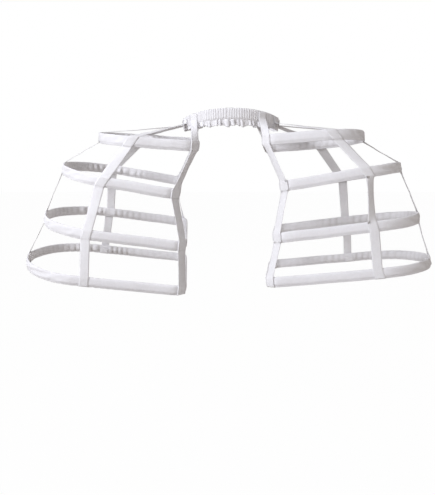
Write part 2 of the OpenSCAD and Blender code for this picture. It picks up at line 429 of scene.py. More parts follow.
@dataclass(frozen=True)
class CasingCut:
    """A hoop casing's section: a flat sewn tube with a seam allowance along its lower edge."""

    height: float = 0.028
    thickness: float = 0.007
    cloth: float = 0.0008
    face_power: float = 0.82
    edge_power: float = 0.88
    seam_height: float = 0.0042
    seam_thickness: float = 0.30
    seam_start: float = 0.72
    seam_fade: float = 0.9
    stitch_lift: float = 0.0001
    columns: int = 26
    step: float = 0.0024

    def section(self) -> tuple[Array, Array]:
        """The section before it puckers: a rounded strip whose lower edge is pressed flat by the seam.

        At each turn it lies at half the thickness * cos^face_power and half the height * sin^edge_power.

        Returns:
            Outward and upward places round the section, anticlockwise seen along the hoop.
        """
        turn = np.linspace(0.0, TAU, self.columns, endpoint=False)
        x = self.thickness / 2 * np.sign(np.cos(turn)) * np.abs(np.cos(turn)) ** self.face_power
        y = self.height / 2 * np.sign(np.sin(turn)) * np.abs(np.sin(turn)) ** self.edge_power
        above_edge = y + self.height / 2
        free = ease(above_edge, self.seam_start * self.seam_height, self.seam_fade * self.seam_height)
        return x * (self.seam_thickness + (1 - self.seam_thickness) * free), y

    def seam_reach(self) -> tuple[float, float]:
        """Finds where the seam's stitches lie on the section: on its face, at the seam's height.

        Returns:
            How far out, and how far up.
        """
        x, y = self.section()
        lower_outer = slice(-(self.columns // 4), None)
        rise = self.seam_height - self.height / 2
        return float(np.interp(rise, y[lower_outer], x[lower_outer])) + self.stitch_lift, rise


@dataclass(frozen=True)
class Puckers:
    """How a casing's cloth is crowded: ridges on its inner face, folds round its end and wavy edges, with
    painted shade in the valleys between the ridges and in the end folds.

    Places along a hoop are shares of its length; counts are of waves round it.
    """

    share: float = 1.0
    depth: float = 0.0070
    pitch: float = 0.0205
    lean: float = 0.7
    drift_counts: tuple[int, ...] = (3, 5, 8, 13)
    drift_sizes: tuple[float, float] = (0.25, 0.5)
    patch_counts: tuple[int, int] = (9, 4)
    patch_mean: float = 0.7
    patch_swing: float = 0.3
    calm_share: float = 0.15
    crowding: float = 0.85
    crowd_from: float = 0.30
    crowd_over: float = 0.20
    easing: float = 0.65
    ease_from: float = 0.74
    ease_over: float = 0.14
    pinned_share: float = 0.2
    pinned_fade: float = 0.005
    outer_share: float = 0.05
    face_fade: float = 0.4
    edge_wave: float = 0.0012
    slow_wave: float = 0.0007
    slow_counts: tuple[int, ...] = (4, 7, 11)
    slow_sizes: tuple[float, float] = (0.2, 0.45)
    end_fold: float = 0.0016
    end_from: float = 0.62
    end_over: float = 0.25
    end_sink: float = 0.6
    end_count: int = 15
    end_slant: float = 7.0
    end_drift: float = 2.0
    end_mean: float = 0.6
    end_swing: float = 0.4
    end_patch_count: int = 7
    end_patch_drift: float = 4.0
    # Share of painted shade in the slanting end folds on the outer face.
    end_fold_shade: float = 0.2

    def crowded(self, far_out: Array) -> Array:
        """How tightly the cloth is crowded at shares of a hoop's length from the hip, from 0 to 1.

        It rises along the straight runs towards the round end, and falls again round the end.

        Args:
            far_out: Shares of the hoop's length.

        Returns:
            The crowding, of the same shape.
        """
        rise = self.crowding * ease(far_out, self.crowd_from, self.crowd_over)
        return self.calm_share + rise - self.easing * ease(far_out, self.ease_from, self.ease_over)

    def end_folds(self, around: Array, drift: Array, rise: Array) -> Array:
        """Slanting folds: end_fold * sin(end_count * angle + slant + drift), stronger in some places.

        Args:
            around: Angles round the hoop.
            drift: How the folds' phase drifts round it.
            rise: Places on the section, as shares of its height.

        Returns:
            How far the folds sink into the outer face, before they fade away from the end.
        """
        slant = self.end_count * around + self.end_slant * rise + self.end_drift * drift
        uneven = np.sin(self.end_patch_count * around + self.end_patch_drift * drift)
        return self.end_fold * np.sin(slant) * (self.end_mean + self.end_swing * uneven)


@dataclass
class Cage:
    """One side cage: four cased hoops and the five tapes that carry them.

    Twists and bows have one value for the stretch of tape above each hoop.
    """

    side: Side
    swing: float
    lift: float
    cut: CasingCut = CasingCut()
    puckers: Puckers = Puckers()
    casing_seed: int = 100
    casing_seed_step: int = 10
    seam_thread: Stitching = Stitching(pitch=0.0038, length=0.0029, radius=0.00026)
    tape_width: float = 0.025
    tape_thickness: float = 0.0009
    tape_seed: int = 500
    tape_seed_step: int = 20
    sewn_gap: float = 0.0002
    tape_columns: int = 9
    span_steps: int = 14
    edge_steps: int = 6
    least_bend: float = 4.0
    most_bend: float = 80.0
    turn_up_gap: float = 0.0012
    turn_up_gap_hip: float = 0.0006
    turn_up_rows: tuple[float, ...] = (0.25, 0.50, 0.75)
    front_twist: tuple[float, ...] = (0.0, 0.0, 0.0, 0.0)
    rear_twist: tuple[float, ...] = (0.0, 0.0, 0.0, 0.0)
    front_hip_twist: tuple[float, ...] = (0.0, 16.0, 8.0, 4.0)
    rear_hip_twist: tuple[float, ...] = (0.0, 36.0, 40.0, 40.0)
    rear_hip_bow: tuple[float, ...] = (0.0, 0.002, 0.004, 0.004)
    outer_twist: tuple[float, ...] = (0.0, 4.0, 10.0, 10.0)
    twist_power: float = 0.3
    slack: float = 0.007
    warp: float = 0.0008
    ripple: float = 0.0004
    ripple_counts: tuple[float, float] = (1.5, 3.0)
    edge_curl: float = 0.0020
    edge_roll: float = 0.0012
    roll_from: float = 0.60
    flat_share: float = 0.85
    selvedge_share: float = 0.35
    selvedge_from: float = 0.75
    tape_thread: Stitching = Stitching(pitch=0.0032, length=0.0025, radius=0.0003)
    sewn_inset: float = 0.0046
    sewn_half_height: float = 0.0088
    stitch_lift: float = 0.00005

    def hoop_name(self, hoop: HoopPlan) -> str:
        """The start of the names of a hoop's pieces."""
        return f"{self.side.word}_hoop_{hoop.number}"

    def to_world(self, hoop: HoopPlan, local: Array) -> Array:
        """Carries points from a hoop's own frame to the part's: lift, then slope, then swing, then place.

        Args:
            hoop: Which hoop.
            local: Points outwards, rearwards and up, on the last axis.

        Returns:
            The points in the part's frame.
        """
        lift, slope, swing = np.radians([self.lift, hoop.slope, self.swing])
        x, y, z = local[..., 0], local[..., 1], local[..., 2]
        y, z = y * np.cos(lift) - z * np.sin(lift), y * np.sin(lift) + z * np.cos(lift)
        x, z = x * np.cos(slope) - z * np.sin(slope), x * np.sin(slope) + z * np.cos(slope)
        x, y = x * np.cos(swing) + y * np.sin(swing), y * np.cos(swing) - x * np.sin(swing)
        return np.stack([self.side.value * (hoop.inset + x) + hoop.sway, y, z - hoop.drop], axis=-1)

    def on_hoop(self, hoop: HoopPlan, s: Array, out: Array, up: Array | float) -> Array:
        """Points beside a hoop's loop, in the part's frame.

        Args:
            hoop: Which hoop.
            s: Distances round the loop.
            out: Distances out from it, of the same shape.
            up: Distances up from it.

        Returns:
            The points, with x, y and z on the last axis.
        """
        place, normal = hoop.outline(s)
        plan = place + out[..., None] * normal
        return self.to_world(hoop, np.concatenate([plan, np.broadcast_to(up, s.shape)[..., None]], axis=-1))

    def casing(self, hoop: HoopPlan, material: bpy.types.Material) -> bpy.types.Object:
        """Carries the casing's section round a hoop, puckered where the bend crowds the cloth.

        The inner face moves by depth * strength * ridge, where ridge is |cos| at the pucker pitch with a
        The outer face hardly puckers, but slanting folds sink into it round the end,
        and the casing's edges wave with the puckers. Painted shade darkens the pucker valleys and the end
        folds.

        Args:
            hoop: Which hoop.
            material: The cloth.

        Returns:
            The casing.
        """
        cut, puckers = self.cut, self.puckers
        seed = self.casing_seed + self.casing_seed_step * hoop.number + self.side.value
        rng = np.random.default_rng(seed)
        rows = int(round(hoop.perimeter / cut.step))
        s = np.linspace(0.0, hoop.perimeter, rows, endpoint=False)[:, None]
        around = TAU * s / hoop.perimeter
        drift = wandering(rng, around, puckers.drift_counts, puckers.drift_sizes)
        patchy = puckers.patch_mean + puckers.patch_swing * patches(rng, around, puckers.patch_counts)
        slow = wandering(rng, around, puckers.slow_counts, puckers.slow_sizes)
        x, y = cut.section()
        rise = y / cut.height
        middle = np.cos(math.pi * rise) ** 2
        inner = ease(-x, 0.0, puckers.face_fade * cut.thickness)
        outer = ease(x, 0.0, puckers.face_fade * cut.thickness)
        far_out = hoop.outline(s[:, 0])[0][:, :1] / hoop.length
        count = round(hoop.perimeter / puckers.pitch)
        ridge = np.abs(np.cos(count * around / 2 + drift + puckers.lean * rise))
        strength = puckers.share * patchy * puckers.crowded(far_out) * self.off_tapes(hoop, s, y)
        at_end = ease(far_out, puckers.end_from, puckers.end_over)
        fold = at_end * puckers.end_folds(around, drift, rise)
        sunk = np.sqrt(middle) * (puckers.end_sink * puckers.end_fold * at_end + fold)
        pucker = puckers.depth * ridge * middle * (strength * inner + puckers.outer_share * outer)
        out = x - pucker - sunk * outer
        wave = puckers.edge_wave * strength * (1 - ridge) * np.sign(y) * (1 - middle)
        # Painted shade: darker in the valleys between the puckers on the inner face, and in the end folds
        # on the outer face.
        in_fold = ease(fold, -puckers.end_fold, 2 * puckers.end_fold)
        fold_shade = strength * (1 - ridge) * inner + puckers.end_fold_shade * at_end * in_fold * outer
        points = self.on_hoop(hoop, np.broadcast_to(s, out.shape), out, y + puckers.slow_wave * slow - wave)
        girth = np.hypot(np.diff(np.append(x, x[0])), np.diff(np.append(y, y[0])))
        if self.side is Side.RIGHT:
            points = points[:, ::-1]
            girth = girth[::-1]
            fold_shade = fold_shade[:, ::-1]
        piece = grid_object(
            f"{self.hoop_name(hoop)}_casing_cloth", points, np.linspace(0.0, hoop.perimeter, rows + 1),
            np.concatenate([[0.0], np.cumsum(girth)]), material,
            wrap_rows=True, wrap_columns=True, fold_shade=fold_shade,
        )
        add_wall(piece, cut.cloth, -1.0)
        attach(piece, "root")
        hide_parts(f"{self.hoop_name(hoop)}_casing")
        return piece

    def off_tapes(self, hoop: HoopPlan, s: Array, y: Array) -> Array:
        """How freely the cloth puckers: 1 away from the tapes, less where their stitching pins it flat.

        Beside a tape it rises from the pinned share by a smooth step over the pinned fade. The hem's casing
        is pinned to 0, because there the tapes lie on its inner face too.

        Args:
            hoop: Which hoop.
            s: Distances round the hoop, a column.
            y: Heights on the section, a row.

        Returns:
            The share of the pucker that is left, rows by columns.
        """
        pinned = 0.0 if hoop is HEM else self.puckers.pinned_share
        free = np.ones((s.size, y.size))
        for tape in TapeRun:
            along = s - hoop.crossing(tape, self.side) - self.lean(hoop, tape) * y
            away = np.abs((along + hoop.perimeter / 2) % hoop.perimeter - hoop.perimeter / 2)
            free = free * ease(away, self.tape_width / 2, self.puckers.pinned_fade)
        return pinned + (1.0 - pinned) * free

    def casing_stitches(self, hoop: HoopPlan, material: bpy.types.Material) -> bpy.types.Object:
        """Sews a row of stitches through the seam allowance, seen on both faces of a casing.

        Args:
            hoop: Which hoop.
            material: The thread.

        Returns:
            The stitches.
        """
        s = np.arange(0.0, hoop.perimeter, self.seam_thread.pitch)
        reach, rise = self.cut.seam_reach()
        centres, ways, outs = [], [], []
        for sign in (1.0, -1.0):
            out = np.full_like(s, sign * reach)
            here = self.on_hoop(hoop, s, out, rise)
            centres.append(here)
            ways.append(self.on_hoop(hoop, s + PROBE, out, rise) - here)
            outs.append(self.on_hoop(hoop, s, out + sign * PROBE, rise) - here)
        piece = self.seam_thread.sew(f"{self.hoop_name(hoop)}_seam_stitches", centres, ways, outs, material)
        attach(piece, "root")
        return piece

    def lean(self, hoop: HoopPlan, tape: TapeRun) -> float:
        """How far a tape runs along the loop for each metre that it goes up, as it crosses a hoop.

        Args:
            hoop: Which hoop.
            tape: Which tape.

        Returns:
            The lean, which is zero for the tapes that cross squarely.
        """
        if not tape.leans:
            return 0.0
        k = HOOPS.index(hoop)
        above, below = HOOPS[max(k - 1, 0)], HOOPS[min(k + 1, len(HOOPS) - 1)]
        start, end = (h.inset + h.tape_place(tape, self.side) for h in (above, below))
        return (end - start) / (below.drop - above.drop) * (-1.0 if tape is TapeRun.FRONT else 1.0)

    def tape_row(
        self, hoop: HoopPlan, tape: TapeRun, edge: Edge, angle: Array, inside: float = 0.0,
    ) -> Array:
        """Rows of a tape's middle surface where it bends round a casing's upper or lower edge.

        At an angle from the outward direction, a row lies at reach * (cos, sin) from the edge's centre.
        Beside the hip the tape's two woven edges curl away from the casing, which bends too sharply there
        for them to lie flat.

        Args:
            hoop: Which hoop.
            tape: Which tape.
            edge: Which edge of the casing.
            angle: The rows' angles, in radians.
            inside: Extra distance from the casing for rows on its inner face.

        Returns:
            Points, rows by columns by 3.
        """
        cut = self.cut
        reach = cut.thickness / 2 + self.sewn_gap + self.tape_thickness / 2
        rise = edge.value * (cut.height - cut.thickness) / 2 + reach * np.sin(angle)
        out = (reach + inside * np.maximum(0.0, -np.cos(angle))) * np.cos(angle)
        lean = self.lean(hoop, tape)
        across = np.linspace(-0.5, 0.5, self.tape_columns) * self.tape_width * math.hypot(1.0, lean)
        s = hoop.crossing(tape, self.side) + across[None, :] + lean * rise[:, None]
        curled = out[:, None] + self.edge_curl * self.rolled(tape, angle)
        return self.on_hoop(hoop, s, curled, rise[:, None])

    def rolled(self, tape: TapeRun, angle: Array) -> Array:
        """How far a tape's woven edges roll where it crosses a hoop, from 0 to 1.

        Beside the hip it is a smooth step over the outer part of the width, times the cosine of the angle.

        Args:
            tape: Which tape.
            angle: The rows' angles, in radians.

        Returns:
            The roll, rows by columns, which is zero for the tapes that lie flat.
        """
        share = np.abs(np.linspace(-1.0, 1.0, self.tape_columns))
        step = ease(share, self.roll_from, 1.0 - self.roll_from) if tape.at_hip else 0.0 * share
        return np.maximum(0.0, np.cos(angle))[:, None] * step

    def edge_angles(self, hoop: HoopPlan, tape: TapeRun, edge: Edge, toward: Array) -> Array:
        """Angles at which a tape bends round an edge before it leaves straight for a far point.

        Args:
            hoop: Which hoop.
            tape: Which tape.
            edge: Which edge of the casing.
            toward: The point that the tape goes to.

        Returns:
            Angles from the casing's face to where the tape leaves it, in radians.
        """
        s = np.array([hoop.crossing(tape, self.side)])
        rise = edge.value * (self.cut.height - self.cut.thickness) / 2
        centre = self.on_hoop(hoop, s, np.zeros(1), rise)[0]
        out = self.on_hoop(hoop, s, np.ones(1), rise)[0] - centre
        up = self.on_hoop(hoop, s, np.zeros(1), rise + 1.0)[0] - centre
        way = edge.value * (toward - centre)
        bend = math.atan2(-float(way @ out), float(way @ up))
        bend = min(max(bend, math.radians(self.least_bend)), math.radians(self.most_bend))
        return np.linspace(0.0, edge.value * bend, self.edge_steps)

    def twisted(self, rows: Array, share: Array, hoop: HoopPlan, tape: TapeRun) -> Array:
        """Turns the rows of a tape's free stretch by the hoop's twist * sin(pi * share)^twist_power.

        The tapes beside the hip turn their outer faces towards the hip, the front tape away from it and the
        outer tape towards the front. The slack inner rear tape also bows away from the hip, by its bow *
        sin(pi * share).

        Args:
            rows: Rows of the stretch, rows by columns by 3.
            share: How far each row is along the stretch, from 0 to 1.
            hoop: The hoop below the stretch.
            tape: Which tape.

        Returns:
            The turned rows.
        """
        s = np.array([hoop.crossing(tape, self.side)])
        out = (self.on_hoop(hoop, s, np.ones(1), 0.0) - self.on_hoop(hoop, s, np.zeros(1), 0.0))[0]
        centre = rows.mean(axis=1, keepdims=True)
        way = unit((centre[-1] - centre[0])[0])
        hip = np.array([-self.side.value, 0.0, 0.0])
        twists, goal = {
            TapeRun.INNER_FRONT: (self.front_hip_twist, hip),
            TapeRun.FRONT: (self.front_twist, -hip),
            TapeRun.OUTER: (self.outer_twist, FRONT),
            TapeRun.REAR: (self.rear_twist, hip),
            TapeRun.INNER_REAR: (self.rear_hip_twist, hip),
        }[tape]
        k = HOOPS.index(hoop)
        turn = math.copysign(math.radians(twists[k]), float(np.cross(way, out) @ goal))
        hump = np.sin(math.pi * share)
        angle = turn * hump**self.twist_power
        arm = rows - centre
        bow = self.rear_hip_bow[k] if tape is TapeRun.INNER_REAR else 0.0
        return centre - bow * hump * hip + arm * np.cos(angle) + np.cross(way, arm) * np.sin(angle)

    def crossing_rows(self, hoop: HoopPlan, run: TapeRun, before: Array) -> tuple[Array, Array]:
        """Rows of a tape over a casing: round both edges, or round the hem and up inside it.

        Args:
            hoop: Which hoop.
            run: Which tape.
            before: The point that the tape comes from.

        Returns:
            The rows, rows by columns by 3, and how far their woven edges roll, rows by columns.
        """
        over = self.edge_angles(hoop, run, Edge.UPPER, before)[::-1]
        rows = [self.tape_row(hoop, run, Edge.UPPER, over)]
        if hoop is HEM:
            inside = self.turn_up_gap_hip if run.at_hip else self.turn_up_gap
            under = np.linspace(0.0, -math.pi, 2 * self.edge_steps)
            rows.append(self.tape_row(hoop, run, Edge.LOWER, under, inside))
            low = rows[-1][-1]
            high = self.tape_row(hoop, run, Edge.UPPER, np.array([-math.pi]), inside)[0]
            rows.append(low + (high - low) * np.array(self.turn_up_rows)[:, None, None])
        else:
            below = HOOPS[HOOPS.index(hoop) + 1]
            s = np.array([below.crossing(run, self.side)])
            after = self.on_hoop(below, s, np.array([self.cut.thickness / 2]), 0.0)[0]
            under = self.edge_angles(hoop, run, Edge.LOWER, after)
            rows.append(self.tape_row(hoop, run, Edge.LOWER, under))
        here = np.concatenate(rows)
        roll = self.rolled(run, np.concatenate([over, under]))
        flat = np.zeros((len(here) - len(roll), self.tape_columns))
        return here, np.concatenate([roll, flat])

    def free_stretch(self, start: Array, end: Array, hoop: HoopPlan, run: TapeRun, rng: Random) -> Array:
        """Rows of a tape between two rows that are sewn down, twisted and slightly slack.

        The rows move off the straight line by sin(pi * share) times the sum of a bow, which is a share of
        the length, a warp across the width, and a ripple that is greatest at the woven edges.

        Args:
            start: The row above, columns by 3.
            end: The row below.
            hoop: The hoop below.
            run: Which tape.
            rng: Gives the bow, the warp, and the ripple's count and phase.

        Returns:
            Points, rows by columns by 3.
        """
        share = np.linspace(0.0, 1.0, self.span_steps + 1)[1:-1, None, None]
        rows = self.twisted(start + share * (end - start), share, hoop, run)
        way = (end - start).mean(axis=0)
        off = unit(np.cross(end[-1] - end[0], way))
        across = np.linspace(-1.0, 1.0, self.tape_columns)[None, :, None]
        bow = rng.uniform(-1, 1) * self.slack * np.linalg.norm(way)
        warp = rng.uniform(-1, 1) * self.warp * across
        phase = TAU * share * rng.uniform(*self.ripple_counts) + rng.uniform(0.0, TAU)
        ripple = self.ripple * np.sin(phase) * across**2
        return rows + np.sin(math.pi * share) * (bow + warp + ripple) * off

    def tape(self, run: TapeRun, band: Waistband, material: bpy.types.Material) -> bpy.types.Object:
        """Lays a tape from the band over the outside of the hoops and turns it up inside the hem hoop.

        The middle surface is a stack of rows across the tape: rows on the band, rows round each casing's
        edges, and slack rows between them. The tape is that surface, thickened both ways along its normal,
        and thicker at its two woven edges, which roll at the hip.

        Args:
            run: Which tape.
            band: The band that the tape is sewn to.
            material: The woven tape.

        Returns:
            The tape.
        """
        place = list(TapeRun).index(run)
        rng = np.random.default_rng(self.tape_seed + self.tape_seed_step * place + self.side.value)
        parts = [band.tape_rows(self, run)]
        rolls = [np.zeros(parts[0].shape[:2])]
        for hoop in HOOPS:
            start = parts[-1][-1]
            here, roll = self.crossing_rows(hoop, run, start.mean(axis=0))
            span = self.free_stretch(start, here[0], hoop, run, rng)
            parts += [span, here]
            rolls += [np.zeros(span.shape[:2]), roll]
        middle = np.concatenate(parts)
        normal = unit(np.cross(np.gradient(middle, axis=1), np.gradient(middle, axis=0)))
        edge = np.abs(np.linspace(-1.0, 1.0, self.tape_columns))
        selvedge = self.selvedge_share * ease(edge, self.selvedge_from, 1.0 - self.selvedge_from)
        half = self.tape_thickness / 2 * (self.flat_share + selvedge)
        skin = (half + self.edge_roll * np.concatenate(rolls))[..., None] * normal
        rings = np.concatenate([middle - skin, (middle + skin)[:, ::-1]], axis=1)
        u = run_length(middle[:, self.tape_columns // 2])
        w = np.linspace(-0.5, 0.5, self.tape_columns) * self.tape_width
        v = np.concatenate([w, w[::-1], w[:1]])
        node = f"{self.side.word}_{run.value}_tape"
        piece = grid_object(f"{node}_weave", rings, u, v, material, wrap_columns=True, caps=True)
        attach(piece, "root")
        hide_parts(node)
        return piece

    def tape_stitches(self, material: bpy.types.Material) -> bpy.types.Object:
        """Sews a box of stitches through each tape where it crosses a hoop.

        Args:
            material: The thread.

        Returns:
            All the stitches of the cage's crossings.
        """
        pitch = self.tape_thread.pitch
        half_w, half_h = self.tape_width / 2 - self.sewn_inset, self.sewn_half_height
        a = np.arange(-half_w + pitch / 2, half_w, pitch)
        b = np.arange(-half_h + pitch / 2, half_h, pitch)
        across = np.concatenate([a, a, np.full_like(b, -half_w), np.full_like(b, half_w)])
        rise = np.concatenate([np.full_like(a, half_h), np.full_like(a, -half_h), b, b])
        level = np.arange(len(across))[:, None] < 2 * len(a)
        reach = self.cut.thickness / 2 + self.sewn_gap + self.tape_thickness + self.stitch_lift
        out = np.full_like(across, reach)
        centres, ways, outs = [], [], []
        for hoop in HOOPS:
            for tape in TapeRun:
                lean = self.lean(hoop, tape)
                s = hoop.crossing(tape, self.side) + across * math.hypot(1.0, lean) + lean * rise
                here = self.on_hoop(hoop, s, out, rise)
                sideways = self.on_hoop(hoop, s + PROBE, out, rise) - here
                upward = self.on_hoop(hoop, s + lean * PROBE, out, rise + PROBE) - here
                centres.append(here)
                ways.append(np.where(level, sideways, upward))
                outs.append(self.on_hoop(hoop, s, out + PROBE, rise) - here)
        piece = self.tape_thread.sew(f"{self.side.word}_tape_stitches", centres, ways, outs, material)
        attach(piece, "root")
        return piece


CAGES = (
    Cage(Side.LEFT, swing=4.0, lift=4.0),
    Cage(Side.RIGHT, swing=7.5, lift=-4.0, front_twist=(0.0, 0.0, 36.0, 0.0), puckers=Puckers(share=0.6)),
)


# Waistband


@dataclass(frozen=True)
class Pleats:
    """The fine pleats of the band's walls, the broader gathers that they run into at the hips, and the
    painted shade in both.

    Levels are shares of the channel's height; counts are of waves round the waist.
    """

    count: int = 122
    samples: int = 9
    height: float = 0.0017
    power: float = 0.9
    drift_counts: tuple[int, ...] = (5, 9, 17, 29)
    drift_sizes: tuple[float, float] = (0.4, 1.0)
    sway: float = 0.5
    sway_count: int = 11
    sway_lean: float = 3.0
    uneven_counts: tuple[int, int] = (23, 14)
    uneven_mean: float = 0.75
    uneven_swing: float = 0.25
    wall_from: float = -0.02
    wall_over: float = 0.12
    frill_share: float = 0.35
    shift: float = 0.0005
    shift_phase: float = 1.0
    scallop: float = 0.0005
    scallop_from: float = 0.8
    hip_gather: float = 0.0020
    hip_power: float = 1.5
    hip_count: int = 40
    hip_lean: float = 2.6
    hip_drift: float = 1.5
    # Strengths of the painted shade in the pleats' valleys and in the hip gathers.
    valley_shade: float = 0.12
    hip_gather_shade: float = 0.3


@dataclass(frozen=True)
class Frill:
    """The short frill under the band's seam: its lengths, its waves, how far they overhang and the painted
    shade in its folds.
    """

    length: float = 0.018
    hip_length: float = 0.004
    waves: int = 57
    drift_counts: tuple[int, ...] = (5, 11, 19, 28)
    drift_sizes: tuple[float, float] = (0.6, 1.1)
    phase_lean: float = 0.9
    crowd_counts: tuple[int, int] = (23, 14)
    crowd_mean: float = 0.55
    crowd_swing: float = 0.45
    flare: float = 0.0072
    flare_mean: float = 0.15
    overhang: float = 0.0040
    ragged_count: int = 19
    ragged: float = 0.14
    scallop: float = 0.10
    # Painted shade in the folds: its strength, how sharply it keeps to the sunk side of each fold, and how
    # far down the frill it grows.
    fold_shade: float = 0.62
    fold_shade_power: int = 5
    fold_shade_over: float = 1.0 / 3.0


@dataclass
class Waistband:
    """The gathered channel with its frill, round an oval waist that dips at the hips and rises at the back.

    Sides are shares of the half thickness, and levels are shares of the channel's height. The tapes'
    spreads are their angles from the hip: of the inner tapes, then of the front and rear tapes.
    """

    width: float = 0.276
    depth: float = 0.210
    channel_height: float = 0.030
    half_thickness: float = 0.0034
    hip_dip: float = 0.022
    back_rise: float = 0.020
    cloth: float = 0.0006
    flat_length: float = 1.05
    seed: int = 7
    pleats: Pleats = Pleats()
    frill: Frill = Frill()
    seam_side: float = 0.30
    frill_rows: int = 8
    frill_top: float = -0.08
    foot_sides: tuple[float, ...] = (0.30, 0.55, 0.90)
    foot_levels: tuple[float, ...] = (0.0, 0.05, 0.12)
    wall_rows: int = 6
    wall_levels: tuple[float, float] = (0.25, 0.86)
    fold_rows: int = 7
    fold_start: float = 20.0
    fold_level: float = 0.88
    outer_face: float = 0.0045
    left_spread: tuple[float, float] = (41.0, 20.0)
    right_spread: tuple[float, float] = (53.0, 25.0)
    lap: float = 0.016
    lap_rise: float = 0.019
    lap_rows: int = 5
    thread: Stitching = Stitching(pitch=0.0034, length=0.0027, radius=0.00028)
    seam_length: float = 0.767
    stitch_lift: float = 0.0006

    def centre(self, angle: Array) -> Array:
        """Places on the band's seam at angles from the right hip towards the front.

        It is an oval, lower by hip_dip * cos^2 and higher at the back by back_rise * (1 - sin) / 2 * sin^2.

        Args:
            angle: Angles in radians.

        Returns:
            The places, with x, y and z on the last axis.
        """
        sin, cos = np.sin(angle), np.cos(angle)
        z = -self.hip_dip * cos**2 + self.back_rise * (1 - sin) / 2 * sin**2
        return np.stack([self.width / 2 * cos, -self.depth / 2 * sin, z], axis=-1)

    def outward(self, angle: Array) -> Array:
        """The level directions out of the oval at angles from the right hip."""
        return unit(np.stack([np.cos(angle) / self.width, -np.sin(angle) / self.depth, 0 * angle], axis=-1))

    def tape_rows(self, cage: Cage, run: TapeRun) -> Array:
        """Rows of a tape's middle surface where it is sewn to the outside of the band.

        Args:
            cage: The cage that the tape belongs to.
            run: Which tape.

        Returns:
            Points, rows by columns by 3, in the order in which the tape crosses a hoop.
        """
        inner, front = self.left_spread if cage.side is Side.LEFT else self.right_spread
        angle = math.radians(dict(zip(TapeRun, (inner, front, 0.0, -front, -inner)))[run])
        speed = math.hypot(self.width / 2 * math.sin(angle), self.depth / 2 * math.cos(angle))
        across = np.linspace(-0.5, 0.5, cage.tape_columns) * cage.tape_width
        turn = angle - across / speed
        reach = self.outer_face + cage.sewn_gap + cage.tape_thickness / 2
        row = self.centre(turn) + reach * self.outward(turn)
        row[:, 2] = self.centre(np.array(angle))[2] + self.lap_rise
        rise = np.linspace(self.lap / 2, -self.lap / 2, self.lap_rows)
        rows = row[None] + rise[:, None, None] * UP
        return rows * np.array([cage.side.value, 1.0, 1.0])

    def cloth_rows(self) -> tuple[Array, Array]:
        """The channel's rows, from the frill's outer edge over the top fold to the frill's inner edge.

        Returns:
            Each row's side, and its level: below zero it is the share of the frill's length.
        """
        frill = np.linspace(-1.0, self.frill_top, self.frill_rows)
        wall = np.linspace(*self.wall_levels, self.wall_rows)
        fold = np.radians(np.linspace(self.fold_start, 180.0 - self.fold_start, self.fold_rows))
        outer_side = np.concatenate(
            [np.full(self.frill_rows, self.seam_side), self.foot_sides, np.ones(self.wall_rows)])
        outer_level = np.concatenate([frill, self.foot_levels, wall])
        top = self.fold_level + (1.0 - self.fold_level) * np.sin(fold)
        side = np.concatenate([outer_side, np.cos(fold), -outer_side[::-1]])
        return side, np.concatenate([outer_level, top, outer_level[::-1]])

    def gathered_walls(self, rng: Random, angle: Array, side: Array, level: Array) -> FourArrays:
        """Swells the walls into rounded pleats with narrow valleys, and sinks them in gathers at the hips.

        A pleat's swell is |cos(phase / 2)|^power, with a phase that drifts so that no two pleats are alike.
        The gathers sink by hip_gather * (1 + sin) / 2, and fade from the hips as cos^(2 * hip_power).
        Painted shade darkens the valleys and the gathers.

        Args:
            rng: Gives the drift and the unevenness.
            angle: Angles round the waist, a column.
            side: The rows' sides.
            level: The rows' levels.

        Returns:
            How far each point lies out, how far it moves along, how far up, and how strongly painted
            shade darkens it in the pleats' valleys and the hip gathers.
        """
        pleats = self.pleats
        drift = wandering(rng, angle, pleats.drift_counts, pleats.drift_sizes)
        uneven = pleats.uneven_mean + pleats.uneven_swing * patches(rng, angle, pleats.uneven_counts)
        phase = pleats.count * angle + drift
        sway = pleats.sway * np.sin(pleats.sway_count * angle + pleats.sway_lean * level) * level
        swell = np.abs(np.cos(phase / 2 + sway)) ** pleats.power
        on_wall = ease(level, pleats.wall_from, pleats.wall_over)
        height = pleats.height * (pleats.frill_share + (1.0 - pleats.frill_share) * on_wall)
        hip_phase = pleats.hip_count * angle + pleats.hip_lean * level + pleats.hip_drift * drift
        at_hip = (1.0 - np.sin(angle) ** 2) ** pleats.hip_power
        gather = at_hip * (0.5 + 0.5 * np.sin(hip_phase)) * on_wall
        out = side * (self.half_thickness + height * (swell * uneven - 0.5) - pleats.hip_gather * gather)
        along = pleats.shift * np.sin(phase + pleats.shift_phase) * on_wall
        up = pleats.scallop * (swell - 0.5) * ease(level, pleats.scallop_from, 1.0 - pleats.scallop_from)
        # Painted shade: darker in the pleats' valleys and in the hip gathers.
        fold_shade = pleats.valley_shade * (1.0 - swell) * on_wall + pleats.hip_gather_shade * gather
        return out, along, up, fold_shade

